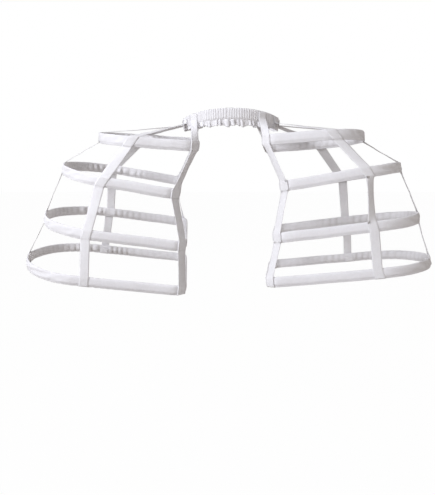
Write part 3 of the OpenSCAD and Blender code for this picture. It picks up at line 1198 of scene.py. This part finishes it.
    def waved_frill(self, rng: Random, angle: Array, side: Array, level: Array) -> FourArrays:
        """Waves the frill into folds that overhang, and ends it unevenly.

        It moves out by flare * (sin(phase) + flare_mean) and along by overhang * sin(2 * phase). Both grow
        as the square root of the way down the frill, fade at the hips as sin^2, and crowd in patches.

        Args:
            rng: Gives the drift, the crowding and the uneven ends.
            angle: Angles round the waist, a column.
            side: The rows' sides.
            level: The rows' levels.

        Returns:
            How far each point moves out and along, the frill's length there, and how strongly painted shade
            darkens it in the folds.
        """
        frill = self.frill
        down = np.maximum(0.0, -level)
        fullness = np.sin(angle) ** 2
        waves = frill.waves * angle + wandering(rng, angle, frill.drift_counts, frill.drift_sizes)
        phase = waves + frill.phase_lean * down
        crowd = (frill.crowd_mean + frill.crowd_swing * patches(rng, angle, frill.crowd_counts)) * fullness
        out = frill.flare * crowd * np.sqrt(down) * (np.sin(phase) + frill.flare_mean)
        along = frill.overhang * crowd * np.sqrt(down) * np.sin(2 * phase)
        uneven = frill.ragged * np.sin(frill.ragged_count * angle + rng.uniform(0.0, TAU))
        full_length = frill.hip_length + (frill.length - frill.hip_length) * fullness
        length = full_length * (1.0 + uneven + frill.scallop * np.cos(waves))
        # Painted shade: darker on the sunk side of each fold, growing down from the seam.
        sunk = 0.5 - 0.5 * np.sign(side) * np.sin(phase)
        fold_shade = frill.fold_shade * sunk**frill.fold_shade_power * crowd * ease(down, 0.0, frill.fold_shade_over)
        return out, along, length, fold_shade

    def cloth_piece(self, material: bpy.types.Material) -> bpy.types.Object:
        """Carries the channel's rows round the waist, with pleated walls, a waved frill and painted shade
        in their folds.

        Args:
            material: The gathered cloth.

        Returns:
            The waistband.
        """
        rng = np.random.default_rng(self.seed)
        columns = self.pleats.count * self.pleats.samples
        angle = np.linspace(0.0, TAU, columns, endpoint=False)
        side, level = self.cloth_rows()
        wall_out, wall_along, wall_up, wall_shade = self.gathered_walls(rng, angle[:, None], side, level)
        frill_out, frill_along, length, frill_shade = self.waved_frill(rng, angle[:, None], side, level)
        outward = self.outward(angle)[:, None]
        tangent = np.cross(UP, outward)
        points = self.centre(angle)[:, None] + (wall_out + frill_out)[..., None] * outward
        points = points + (wall_along + frill_along)[..., None] * tangent
        points[..., 2] += np.where(level >= 0, level * self.channel_height + wall_up, level * length)
        height = np.where(level >= 0, level * self.channel_height, level * self.frill.length)
        v = run_length(np.stack([side * self.half_thickness, height], axis=-1))
        piece = grid_object(
            "waistband_gathered_cloth", points, np.linspace(0.0, self.flat_length, columns + 1), v,
            material, wrap_rows=True, fold_shade=wall_shade + frill_shade,
        )
        add_wall(piece, self.cloth, 0.0)
        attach(piece, "root")
        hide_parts("waistband_channel")
        return piece

    def stitches(self, material: bpy.types.Material) -> bpy.types.Object:
        """Sews the channel's seam with a row of stitches outside and another inside.

        Args:
            material: The thread.

        Returns:
            The stitches.
        """
        angle = np.linspace(0.0, TAU, int(self.seam_length / self.thread.pitch), endpoint=False)
        out = self.outward(angle)
        tangent = np.cross(UP, out)
        reach = self.seam_side * self.half_thickness + self.stitch_lift
        centres = [self.centre(angle) + sign * reach * out for sign in (1.0, -1.0)]
        name = "waistband_seam_stitches"
        piece = self.thread.sew(name, centres, [tangent, tangent], [out, -out], material)
        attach(piece, "root")
        return piece


# Finishes


class Nodes:
    """Short ways to add nodes to a tree and link them."""

    def __init__(self, tree: bpy.types.NodeTree) -> None:
        """Keeps the tree that the nodes go into."""
        self.tree = tree

    def put(self, socket: Socket, value: Feed) -> None:
        """Links a socket to another, or sets its value.

        Args:
            socket: The input to feed.
            value: An output to link, or a number, vector or colour.
        """
        if isinstance(value, Socket):
            self.tree.links.new(value, socket)
        else:
            socket.default_value = value

    def math(self, operation: str, a: Feed, b: Feed = 0.0) -> Socket:
        """Adds a Math node.

        Args:
            operation: Its operation.
            a: The first input.
            b: The second input, if the operation has one.

        Returns:
            Its output.
        """
        node = self.tree.nodes.new("ShaderNodeMath")
        node.operation = operation
        self.put(node.inputs[0], a)
        self.put(node.inputs[1], b)
        return node.outputs[0]

    def plus(self, a: Feed, b: Feed) -> Socket:
        """Adds two values."""
        return self.math("ADD", a, b)

    def times(self, a: Feed, b: Feed) -> Socket:
        """Multiplies two values."""
        return self.math("MULTIPLY", a, b)

    def minus(self, a: Feed, b: Feed) -> Socket:
        """Takes the second value from the first."""
        return self.math("SUBTRACT", a, b)

    def ribs(self, value: Feed) -> Socket:
        """Gives |sin(pi * value)|, a round rib for each whole number."""
        return self.math("ABSOLUTE", self.math("SINE", self.times(value, math.pi)))

    def split(self, vector: Socket) -> tuple[Socket, Socket]:
        """Gives a vector's first two parts.

        Args:
            vector: The vector.

        Returns:
            Its x and y.
        """
        node = self.tree.nodes.new("ShaderNodeSeparateXYZ")
        self.put(node.inputs[0], vector)
        return node.outputs[0], node.outputs[1]

    def noise(self, vector: Socket, scale: float, detail: float) -> Socket:
        """Adds a noise.

        Args:
            vector: Where it is read.
            scale: How fine it is.
            detail: How many finer layers it has.

        Returns:
            Its value, from 0 to 1.
        """
        node = self.tree.nodes.new("ShaderNodeTexNoise")
        self.put(node.inputs["Vector"], vector)
        node.inputs["Scale"].default_value = scale
        node.inputs["Detail"].default_value = detail
        return node.outputs["Fac"]

    def group(self, group: bpy.types.NodeTree, **inputs: Feed) -> bpy.types.Node:
        """Places a node group and feeds its inputs.

        Args:
            group: The group.
            **inputs: What goes into each of its named inputs.

        Returns:
            The group's node.
        """
        node = self.tree.nodes.new("ShaderNodeGroup")
        node.node_tree = group
        for key, value in inputs.items():
            self.put(node.inputs[key], value)
        return node

    def blend(self, value: Socket, low: Socket | Colour, high: Colour) -> Socket:
        """Mixes two colours by a value from 0 to 1.

        Args:
            value: 0 for the first colour, 1 for the second.
            low: The first colour, or a socket that gives it.
            high: The second colour.

        Returns:
            The mixed colour.
        """
        node = self.tree.nodes.new("ShaderNodeMix")
        node.data_type = "RGBA"
        first, second = (s for s in node.inputs if s.type == "RGBA")
        self.put(node.inputs["Factor"], value)
        self.put(first, (*low, 1.0) if isinstance(low, tuple) else low)
        self.put(second, (*high, 1.0))
        return next(s for s in node.outputs if s.type == "RGBA")

    def bump(self, height: Socket, strength: float, depth: float) -> Socket:
        """Adds a Bump node.

        Args:
            height: The heights.
            strength: How strongly it acts.
            depth: How deep it is, in metres.

        Returns:
            The bumped normal.
        """
        node = self.tree.nodes.new("ShaderNodeBump")
        self.put(node.inputs["Height"], height)
        node.inputs["Strength"].default_value = strength
        node.inputs["Distance"].default_value = depth
        return node.outputs[0]

    def place(self) -> Socket:
        """Gives places in the piece's own coordinates."""
        return self.tree.nodes.new("ShaderNodeTexCoord").outputs["Object"]


def new_material(name: str) -> tuple[bpy.types.Material, Nodes, bpy.types.bpy_prop_collection]:
    """Starts a material.

    Args:
        name: Its name.

    Returns:
        The material, its nodes and the inputs of its shader.
    """
    material = bpy.data.materials.new(name)
    material.use_nodes = True
    return material, Nodes(material.node_tree), material.node_tree.nodes["Principled BSDF"].inputs


GroupParts = tuple[Nodes, dict[str, Socket], dict[str, Socket]]


def new_group(name: str, values: dict[str, float], outputs: tuple[str, ...]) -> GroupParts:
    """Starts a shader node group that takes a place, Vector, and named values.

    Args:
        name: The group's name.
        values: Value inputs and their defaults.
        outputs: Value outputs.

    Returns:
        The group's nodes, and its inputs and outputs by name, as sockets inside it.
    """
    group = bpy.data.node_groups.new(name, "ShaderNodeTree")
    group.interface.new_socket(name="Vector", in_out="INPUT", socket_type="NodeSocketVector")
    for key, value in values.items():
        socket = group.interface.new_socket(name=key, in_out="INPUT", socket_type="NodeSocketFloat")
        socket.default_value = value
    for key in outputs:
        group.interface.new_socket(name=key, in_out="OUTPUT", socket_type="NodeSocketFloat")
    given = group.nodes.new("NodeGroupInput").outputs
    wanted = group.nodes.new("NodeGroupOutput").inputs
    return Nodes(group), {s.name: s for s in given if s.name}, {s.name: s for s in wanted if s.name}


@dataclass
class Weaves:
    """The shared cloth effects: plain weave, herringbone twill and the mottle of washed cotton."""

    stripe: float = 0.0062
    warp_threads: float = 1700.0
    rib_share: float = 0.75
    slow_scale: float = 14.0
    slow_detail: float = 3.0
    fine_scale: float = 160.0
    fine_detail: float = 2.0
    slow_share: float = 0.7

    def __post_init__(self) -> None:
        """Builds each group once."""
        self.plain = self.plain_weave()
        self.twill = self.herringbone()
        self.mottle = self.cotton_mottle()

    def plain_weave(self) -> bpy.types.NodeTree:
        """Threads over and under: the height is |sin u| where u + v falls on an odd cell, or else |sin v|.

        Returns:
            The group.
        """
        n, given, wanted = new_group("plain_weave", {"Threads": 1500.0}, ("Height", "Gap"))
        x, y = n.split(given["Vector"])
        u = n.times(x, given["Threads"])
        v = n.times(y, given["Threads"])
        odd = n.math("FLOORED_MODULO", n.plus(n.math("FLOOR", u), n.math("FLOOR", v)), 2.0)
        warp, weft = n.ribs(u), n.ribs(v)
        n.put(wanted["Height"], n.plus(n.times(warp, odd), n.times(weft, n.minus(1.0, odd))))
        n.put(wanted["Gap"], n.minus(1.0, n.times(warp, weft)))
        return n.tree

    def herringbone(self) -> bpy.types.NodeTree:
        """Slanted ribs that turn back at each stripe, |sin(run + |folded across|)|, over fine warp threads.

        Returns:
            The group.
        """
        n, given, wanted = new_group(
            "herringbone_twill", {"Ribs": 900.0, "Stripe": self.stripe}, ("Height", "Gap"))
        x, y = n.split(given["Vector"])
        slant = n.plus(x, n.math("PINGPONG", y, given["Stripe"]))
        rib = n.ribs(n.times(slant, given["Ribs"]))
        thread = n.ribs(n.times(y, self.warp_threads))
        n.put(wanted["Height"], n.plus(n.times(rib, self.rib_share), n.times(thread, 1.0 - self.rib_share)))
        n.put(wanted["Gap"], n.minus(1.0, rib))
        return n.tree

    def cotton_mottle(self) -> bpy.types.NodeTree:
        """Slow and fine patches of tone, as in washed and handled cotton, from 0 to 1.

        Returns:
            The group.
        """
        n, given, wanted = new_group("cotton_mottle", {"Contrast": 1.0}, ("Tone",))
        slow = n.noise(given["Vector"], self.slow_scale, self.slow_detail)
        fine = n.noise(given["Vector"], self.fine_scale, self.fine_detail)
        tone = n.plus(n.times(slow, self.slow_share), n.times(fine, 1.0 - self.slow_share))
        clamp = n.tree.nodes.new("ShaderNodeClamp")
        n.put(clamp.inputs[0], n.plus(n.times(n.minus(tone, 0.5), given["Contrast"]), 0.5))
        n.put(wanted["Tone"], clamp.outputs[0])
        return n.tree


class Weave(Enum):
    """The ways a cloth can be woven."""

    PLAIN = "plain"
    HERRINGBONE = "herringbone"


@dataclass(frozen=True)
class ClothFinish:
    """A white cotton cloth: its two tones, its weave, its nap and the painted shade that darkens its folds.
    """

    name: str
    dark: Colour
    light: Colour
    threads: float
    weave: Weave = Weave.PLAIN
    bump: float = 0.25
    bump_depth: float = 0.0003
    mottle: float = 1.6
    gap_shade: float = 0.22
    roughness: float = 0.95
    roughness_swing: float = -0.12
    specular: float = 0.25
    sheen: float = 0.12
    sheen_roughness: float = 0.5
    # Strength and colour of the painted shade that darkens the folds, read from the mesh attribute.
    fold_shade: float = 0.0
    painted_fold_shade_colour: Colour = (0.36, 0.33, 0.305)

    def material(self, weaves: Weaves) -> bpy.types.Material:
        """Builds the cloth's shader: mottled tone, darker between the threads, painted shade in the folds,
        with the weave as bump.

        Args:
            weaves: The shared groups.

        Returns:
            The material.
        """
        material, n, shader = new_material(self.name)
        shader["Sheen Weight"].default_value = self.sheen
        shader["Sheen Roughness"].default_value = self.sheen_roughness
        shader["Specular IOR Level"].default_value = self.specular
        uv = n.tree.nodes.new("ShaderNodeUVMap")
        uv.uv_map = CLOTH_UV
        if self.weave is Weave.PLAIN:
            weave = n.group(weaves.plain, Vector=uv.outputs[0], Threads=self.threads)
        else:
            weave = n.group(weaves.twill, Vector=uv.outputs[0], Ribs=self.threads)
        tone = n.group(weaves.mottle, Vector=n.place(), Contrast=self.mottle).outputs["Tone"]
        shade = n.minus(tone, n.times(weave.outputs["Gap"], self.gap_shade))
        colour = n.blend(shade, self.dark, self.light)
        # Painted shade: blends towards a dark warm tone where the mesh attribute marks a fold.
        if self.fold_shade > 0:
            mark = n.tree.nodes.new("ShaderNodeAttribute")
            mark.attribute_name = FOLD_SHADE
            colour = n.blend(n.times(mark.outputs["Fac"], self.fold_shade), colour, self.painted_fold_shade_colour)
        n.put(shader["Base Color"], colour)
        n.put(shader["Roughness"], n.plus(n.times(tone, self.roughness_swing), self.roughness))
        n.put(shader["Normal"], n.bump(weave.outputs["Height"], self.bump, self.bump_depth))
        return material


@dataclass(frozen=True)
class GrainFinish:
    """A finish whose tone, roughness and bump follow one noise: thread, or what lies inside the cloth."""

    name: str
    dark: Colour
    light: Colour
    roughness: float
    streaks: Triple
    metallic: float = 0.0
    roughness_swing: float = 0.2
    detail: float = 3.0
    bump: float = 0.15
    bump_depth: float = 0.0002
    sheen: float = 0.0

    def material(self) -> bpy.types.Material:
        """Builds the shader: noise, as fine along each axis as the streaks say, gives all three.

        Returns:
            The material.
        """
        material, n, shader = new_material(self.name)
        shader["Metallic"].default_value = self.metallic
        shader["Sheen Weight"].default_value = self.sheen
        mapping = n.tree.nodes.new("ShaderNodeMapping")
        mapping.inputs["Scale"].default_value = self.streaks
        n.put(mapping.inputs["Vector"], n.place())
        grain = n.noise(mapping.outputs[0], 1.0, self.detail)
        n.put(shader["Base Color"], n.blend(grain, self.dark, self.light))
        n.put(shader["Roughness"], n.plus(n.times(grain, self.roughness_swing), self.roughness))
        n.put(shader["Normal"], n.bump(grain, self.bump, self.bump_depth))
        return material


# The casing and band cloths get painted shade in their folds; the tape cloth gets none.
CASING_COTTON = ClothFinish(
    "casing_cotton", (0.70, 0.685, 0.70), (0.83, 0.825, 0.85), 1500.0, fold_shade=0.8)
TWILL_TAPE = ClothFinish(
    "twill_tape", (0.69, 0.675, 0.685), (0.82, 0.815, 0.835), 800.0, Weave.HERRINGBONE, bump=0.4)
GATHERED_COTTON = ClothFinish(
    "gathered_cotton", (0.70, 0.685, 0.70), (0.83, 0.825, 0.845), 1700.0, mottle=1.2, fold_shade=0.95)
SEWING_THREAD = GrainFinish(
    "sewing_thread", (0.74, 0.73, 0.73), (0.87, 0.865, 0.88), 0.7, (2600.0, 2600.0, 2600.0), detail=1.0,
    bump=0.3, bump_depth=0.0001, sheen=0.15)
HIDDEN_FINISHES = (
    GrainFinish("bone", (0.74, 0.71, 0.63), (0.86, 0.84, 0.78), 0.45, (60.0, 60.0, 600.0)),
    GrainFinish(
        "ferrule", (0.55, 0.55, 0.55), (0.72, 0.72, 0.72), 0.28, (40.0, 900.0, 900.0), metallic=1.0),
    GrainFinish("elastic", (0.62, 0.61, 0.60), (0.78, 0.77, 0.76), 0.75, (40.0, 40.0, 1500.0), bump=0.5),
)


def dress_hidden_nodes() -> None:
    """Gives the bones, ferrules and elastic, which stay as they were made, the finishes of their names."""
    for finish in HIDDEN_FINISHES:
        material = finish.material()
        for name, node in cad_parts.items():
            if name.endswith(finish.name):
                node.data.materials.clear()
                node.data.materials.append(material)


# Studio


@dataclass(frozen=True)
class Lamp:
    """A square soft lamp: where it hangs, what it points at, its width, power in watts and colour."""

    name: str
    place: Triple
    aim: Triple
    size: float
    energy: float
    colour: Colour

    def hang(self) -> None:
        """Puts the lamp into the scene, turned so that it points at its aim."""
        data = bpy.data.lights.new(self.name, "AREA")
        data.size = self.size
        data.energy = self.energy
        data.color = self.colour
        x, y, z = np.array(self.aim) - np.array(self.place)
        lamp = bpy.data.objects.new(self.name, data)
        lamp.location = self.place
        lamp.rotation_euler = (math.atan2(math.hypot(x, y), -z), 0.0, math.atan2(y, x) - QUARTER)
        bpy.context.scene.collection.objects.link(lamp)


LAMPS = (
    Lamp("key", (-2.15, -1.55, 1.45), (0.0, 0.0, -0.25), 1.3, 93.0, (0.915, 0.94, 1.0)),
    Lamp("front_fill", (-0.4, -3.0, 0.9), (0.0, 0.0, -0.2), 2.0, 34.0, (0.945, 0.96, 1.0)),
    Lamp("right_fill", (2.6, -1.0, 0.2), (0.0, 0.0, -0.25), 1.6, 13.0, (1.0, 0.93, 0.87)),
    Lamp("back_fill", (0.9, 3.0, 1.0), (0.0, 0.0, -0.2), 2.2, 46.0, (1.0, 0.97, 0.945)),
)


@dataclass(frozen=True)
class Studio:
    """The photograph's camera, a pale floor far below the hanging cage, and soft light from the left."""

    camera_place: Triple = (-0.0398, -1.44, -0.105)
    camera_tilt: float = 10.78
    focal_pixels: float = 470.0
    picture_height: float = 495.0
    sensor: float = 36.0
    nearest: float = 0.01
    farthest: float = 100.0
    floor_level: float = -1.05
    floor_half: float = 12.0
    floor_tone: Colour = (0.52, 0.49, 0.46)
    floor_white: float = 0.985
    backdrop: Colour = (1.0, 1.0, 1.0)
    sky: Colour = (1.0, 0.91, 0.85)
    sky_strength: float = 0.14

    def camera(self) -> None:
        """Places the camera with the photograph's height, tilt and angle of view."""
        data = bpy.data.cameras.new("camera")
        data.sensor_fit = "VERTICAL"
        data.sensor_height = self.sensor
        data.sensor_width = self.sensor
        data.lens = self.sensor * self.focal_pixels / self.picture_height
        data.clip_start = self.nearest
        data.clip_end = self.farthest
        camera = bpy.data.objects.new("camera", data)
        camera.location = self.camera_place
        camera.rotation_euler = (math.radians(90.0 - self.camera_tilt), 0.0, 0.0)
        bpy.context.scene.collection.objects.link(camera)
        bpy.context.scene.camera = camera

    @staticmethod
    def mix_seen(n: Nodes, share: float, lit: bpy.types.Node, seen: bpy.types.Node, output: str) -> None:
        """Ends a tree with one shader for light rays and another for what is seen.

        Rays from the camera, from gloss and through glass see the second shader.

        Args:
            n: The tree's nodes.
            share: How much of the second shader those rays see.
            lit: The shader's node for light rays.
            seen: The shader's node for what is seen.
            output: The kind of output node.
        """
        path = n.tree.nodes.new("ShaderNodeLightPath").outputs
        direct = n.math("MAXIMUM", path["Is Camera Ray"], path["Is Glossy Ray"])
        direct = n.math("MAXIMUM", direct, path["Is Transmission Ray"])
        mix = n.tree.nodes.new("ShaderNodeMixShader")
        n.put(mix.inputs[0], n.times(direct, share))
        n.put(mix.inputs[1], lit.outputs[0])
        n.put(mix.inputs[2], seen.outputs[0])
        n.put(n.tree.nodes.new(output).inputs[0], mix.outputs[0])

    def world(self) -> None:
        """Makes a white backdrop that lights the cloth with a softer, warmer tone."""
        world = bpy.data.worlds.new("studio")
        bpy.context.scene.world = world
        world.use_nodes = True
        world.node_tree.nodes.clear()
        n = Nodes(world.node_tree)
        lit = n.tree.nodes.new("ShaderNodeBackground")
        lit.inputs["Color"].default_value = (*self.sky, 1.0)
        lit.inputs["Strength"].default_value = self.sky_strength
        seen = n.tree.nodes.new("ShaderNodeBackground")
        seen.inputs["Color"].default_value = (*self.backdrop, 1.0)
        self.mix_seen(n, 1.0, lit, seen, "ShaderNodeOutputWorld")

    def floor(self) -> None:
        """Lays a pale floor that keeps the cage's soft shadow."""
        corners = self.floor_half * np.array([[-1.0, -1.0], [1.0, -1.0], [1.0, 1.0], [-1.0, 1.0]])
        points = np.concatenate([corners, np.full((4, 1), self.floor_level)], axis=1)
        material = bpy.data.materials.new("pale_floor")
        material.use_nodes = True
        material.node_tree.nodes.clear()
        n = Nodes(material.node_tree)
        lit = n.tree.nodes.new("ShaderNodeBsdfDiffuse")
        lit.inputs["Color"].default_value = (*self.floor_tone, 1.0)
        seen = n.tree.nodes.new("ShaderNodeEmission")
        seen.inputs["Color"].default_value = (*self.backdrop, 1.0)
        self.mix_seen(n, self.floor_white, lit, seen, "ShaderNodeOutputMaterial")
        make_object("floor", points, np.array([[0, 1, 2, 3]]), None, material)

    def build(self) -> None:
        """Sets up the camera, backdrop, floor and lamps, with colours shown as they are."""
        self.camera()
        self.world()
        self.floor()
        for lamp in LAMPS:
            lamp.hang()
        bpy.context.scene.view_settings.view_transform = "Standard"


def main() -> None:
    """Builds the studio, the waistband and the two cages, and reports each piece."""
    logging.basicConfig(level=logging.INFO, format="%(message)s")
    Studio().build()
    weaves = Weaves()
    casing_cloth = CASING_COTTON.material(weaves)
    tape_cloth = TWILL_TAPE.material(weaves)
    band_cloth = GATHERED_COTTON.material(weaves)
    thread = SEWING_THREAD.material()
    dress_hidden_nodes()
    band = Waistband()
    made = [band.cloth_piece(band_cloth), band.stitches(thread)]
    for cage in CAGES:
        for hoop in HOOPS:
            made += [cage.casing(hoop, casing_cloth), cage.casing_stitches(hoop, thread)]
        made += [cage.tape(run, band, tape_cloth) for run in TapeRun]
        made.append(cage.tape_stitches(thread))
    for piece in made:
        LOG.info("%s: %d faces", piece.name, len(piece.data.polygons))


if __name__ == "__main__":
    main()
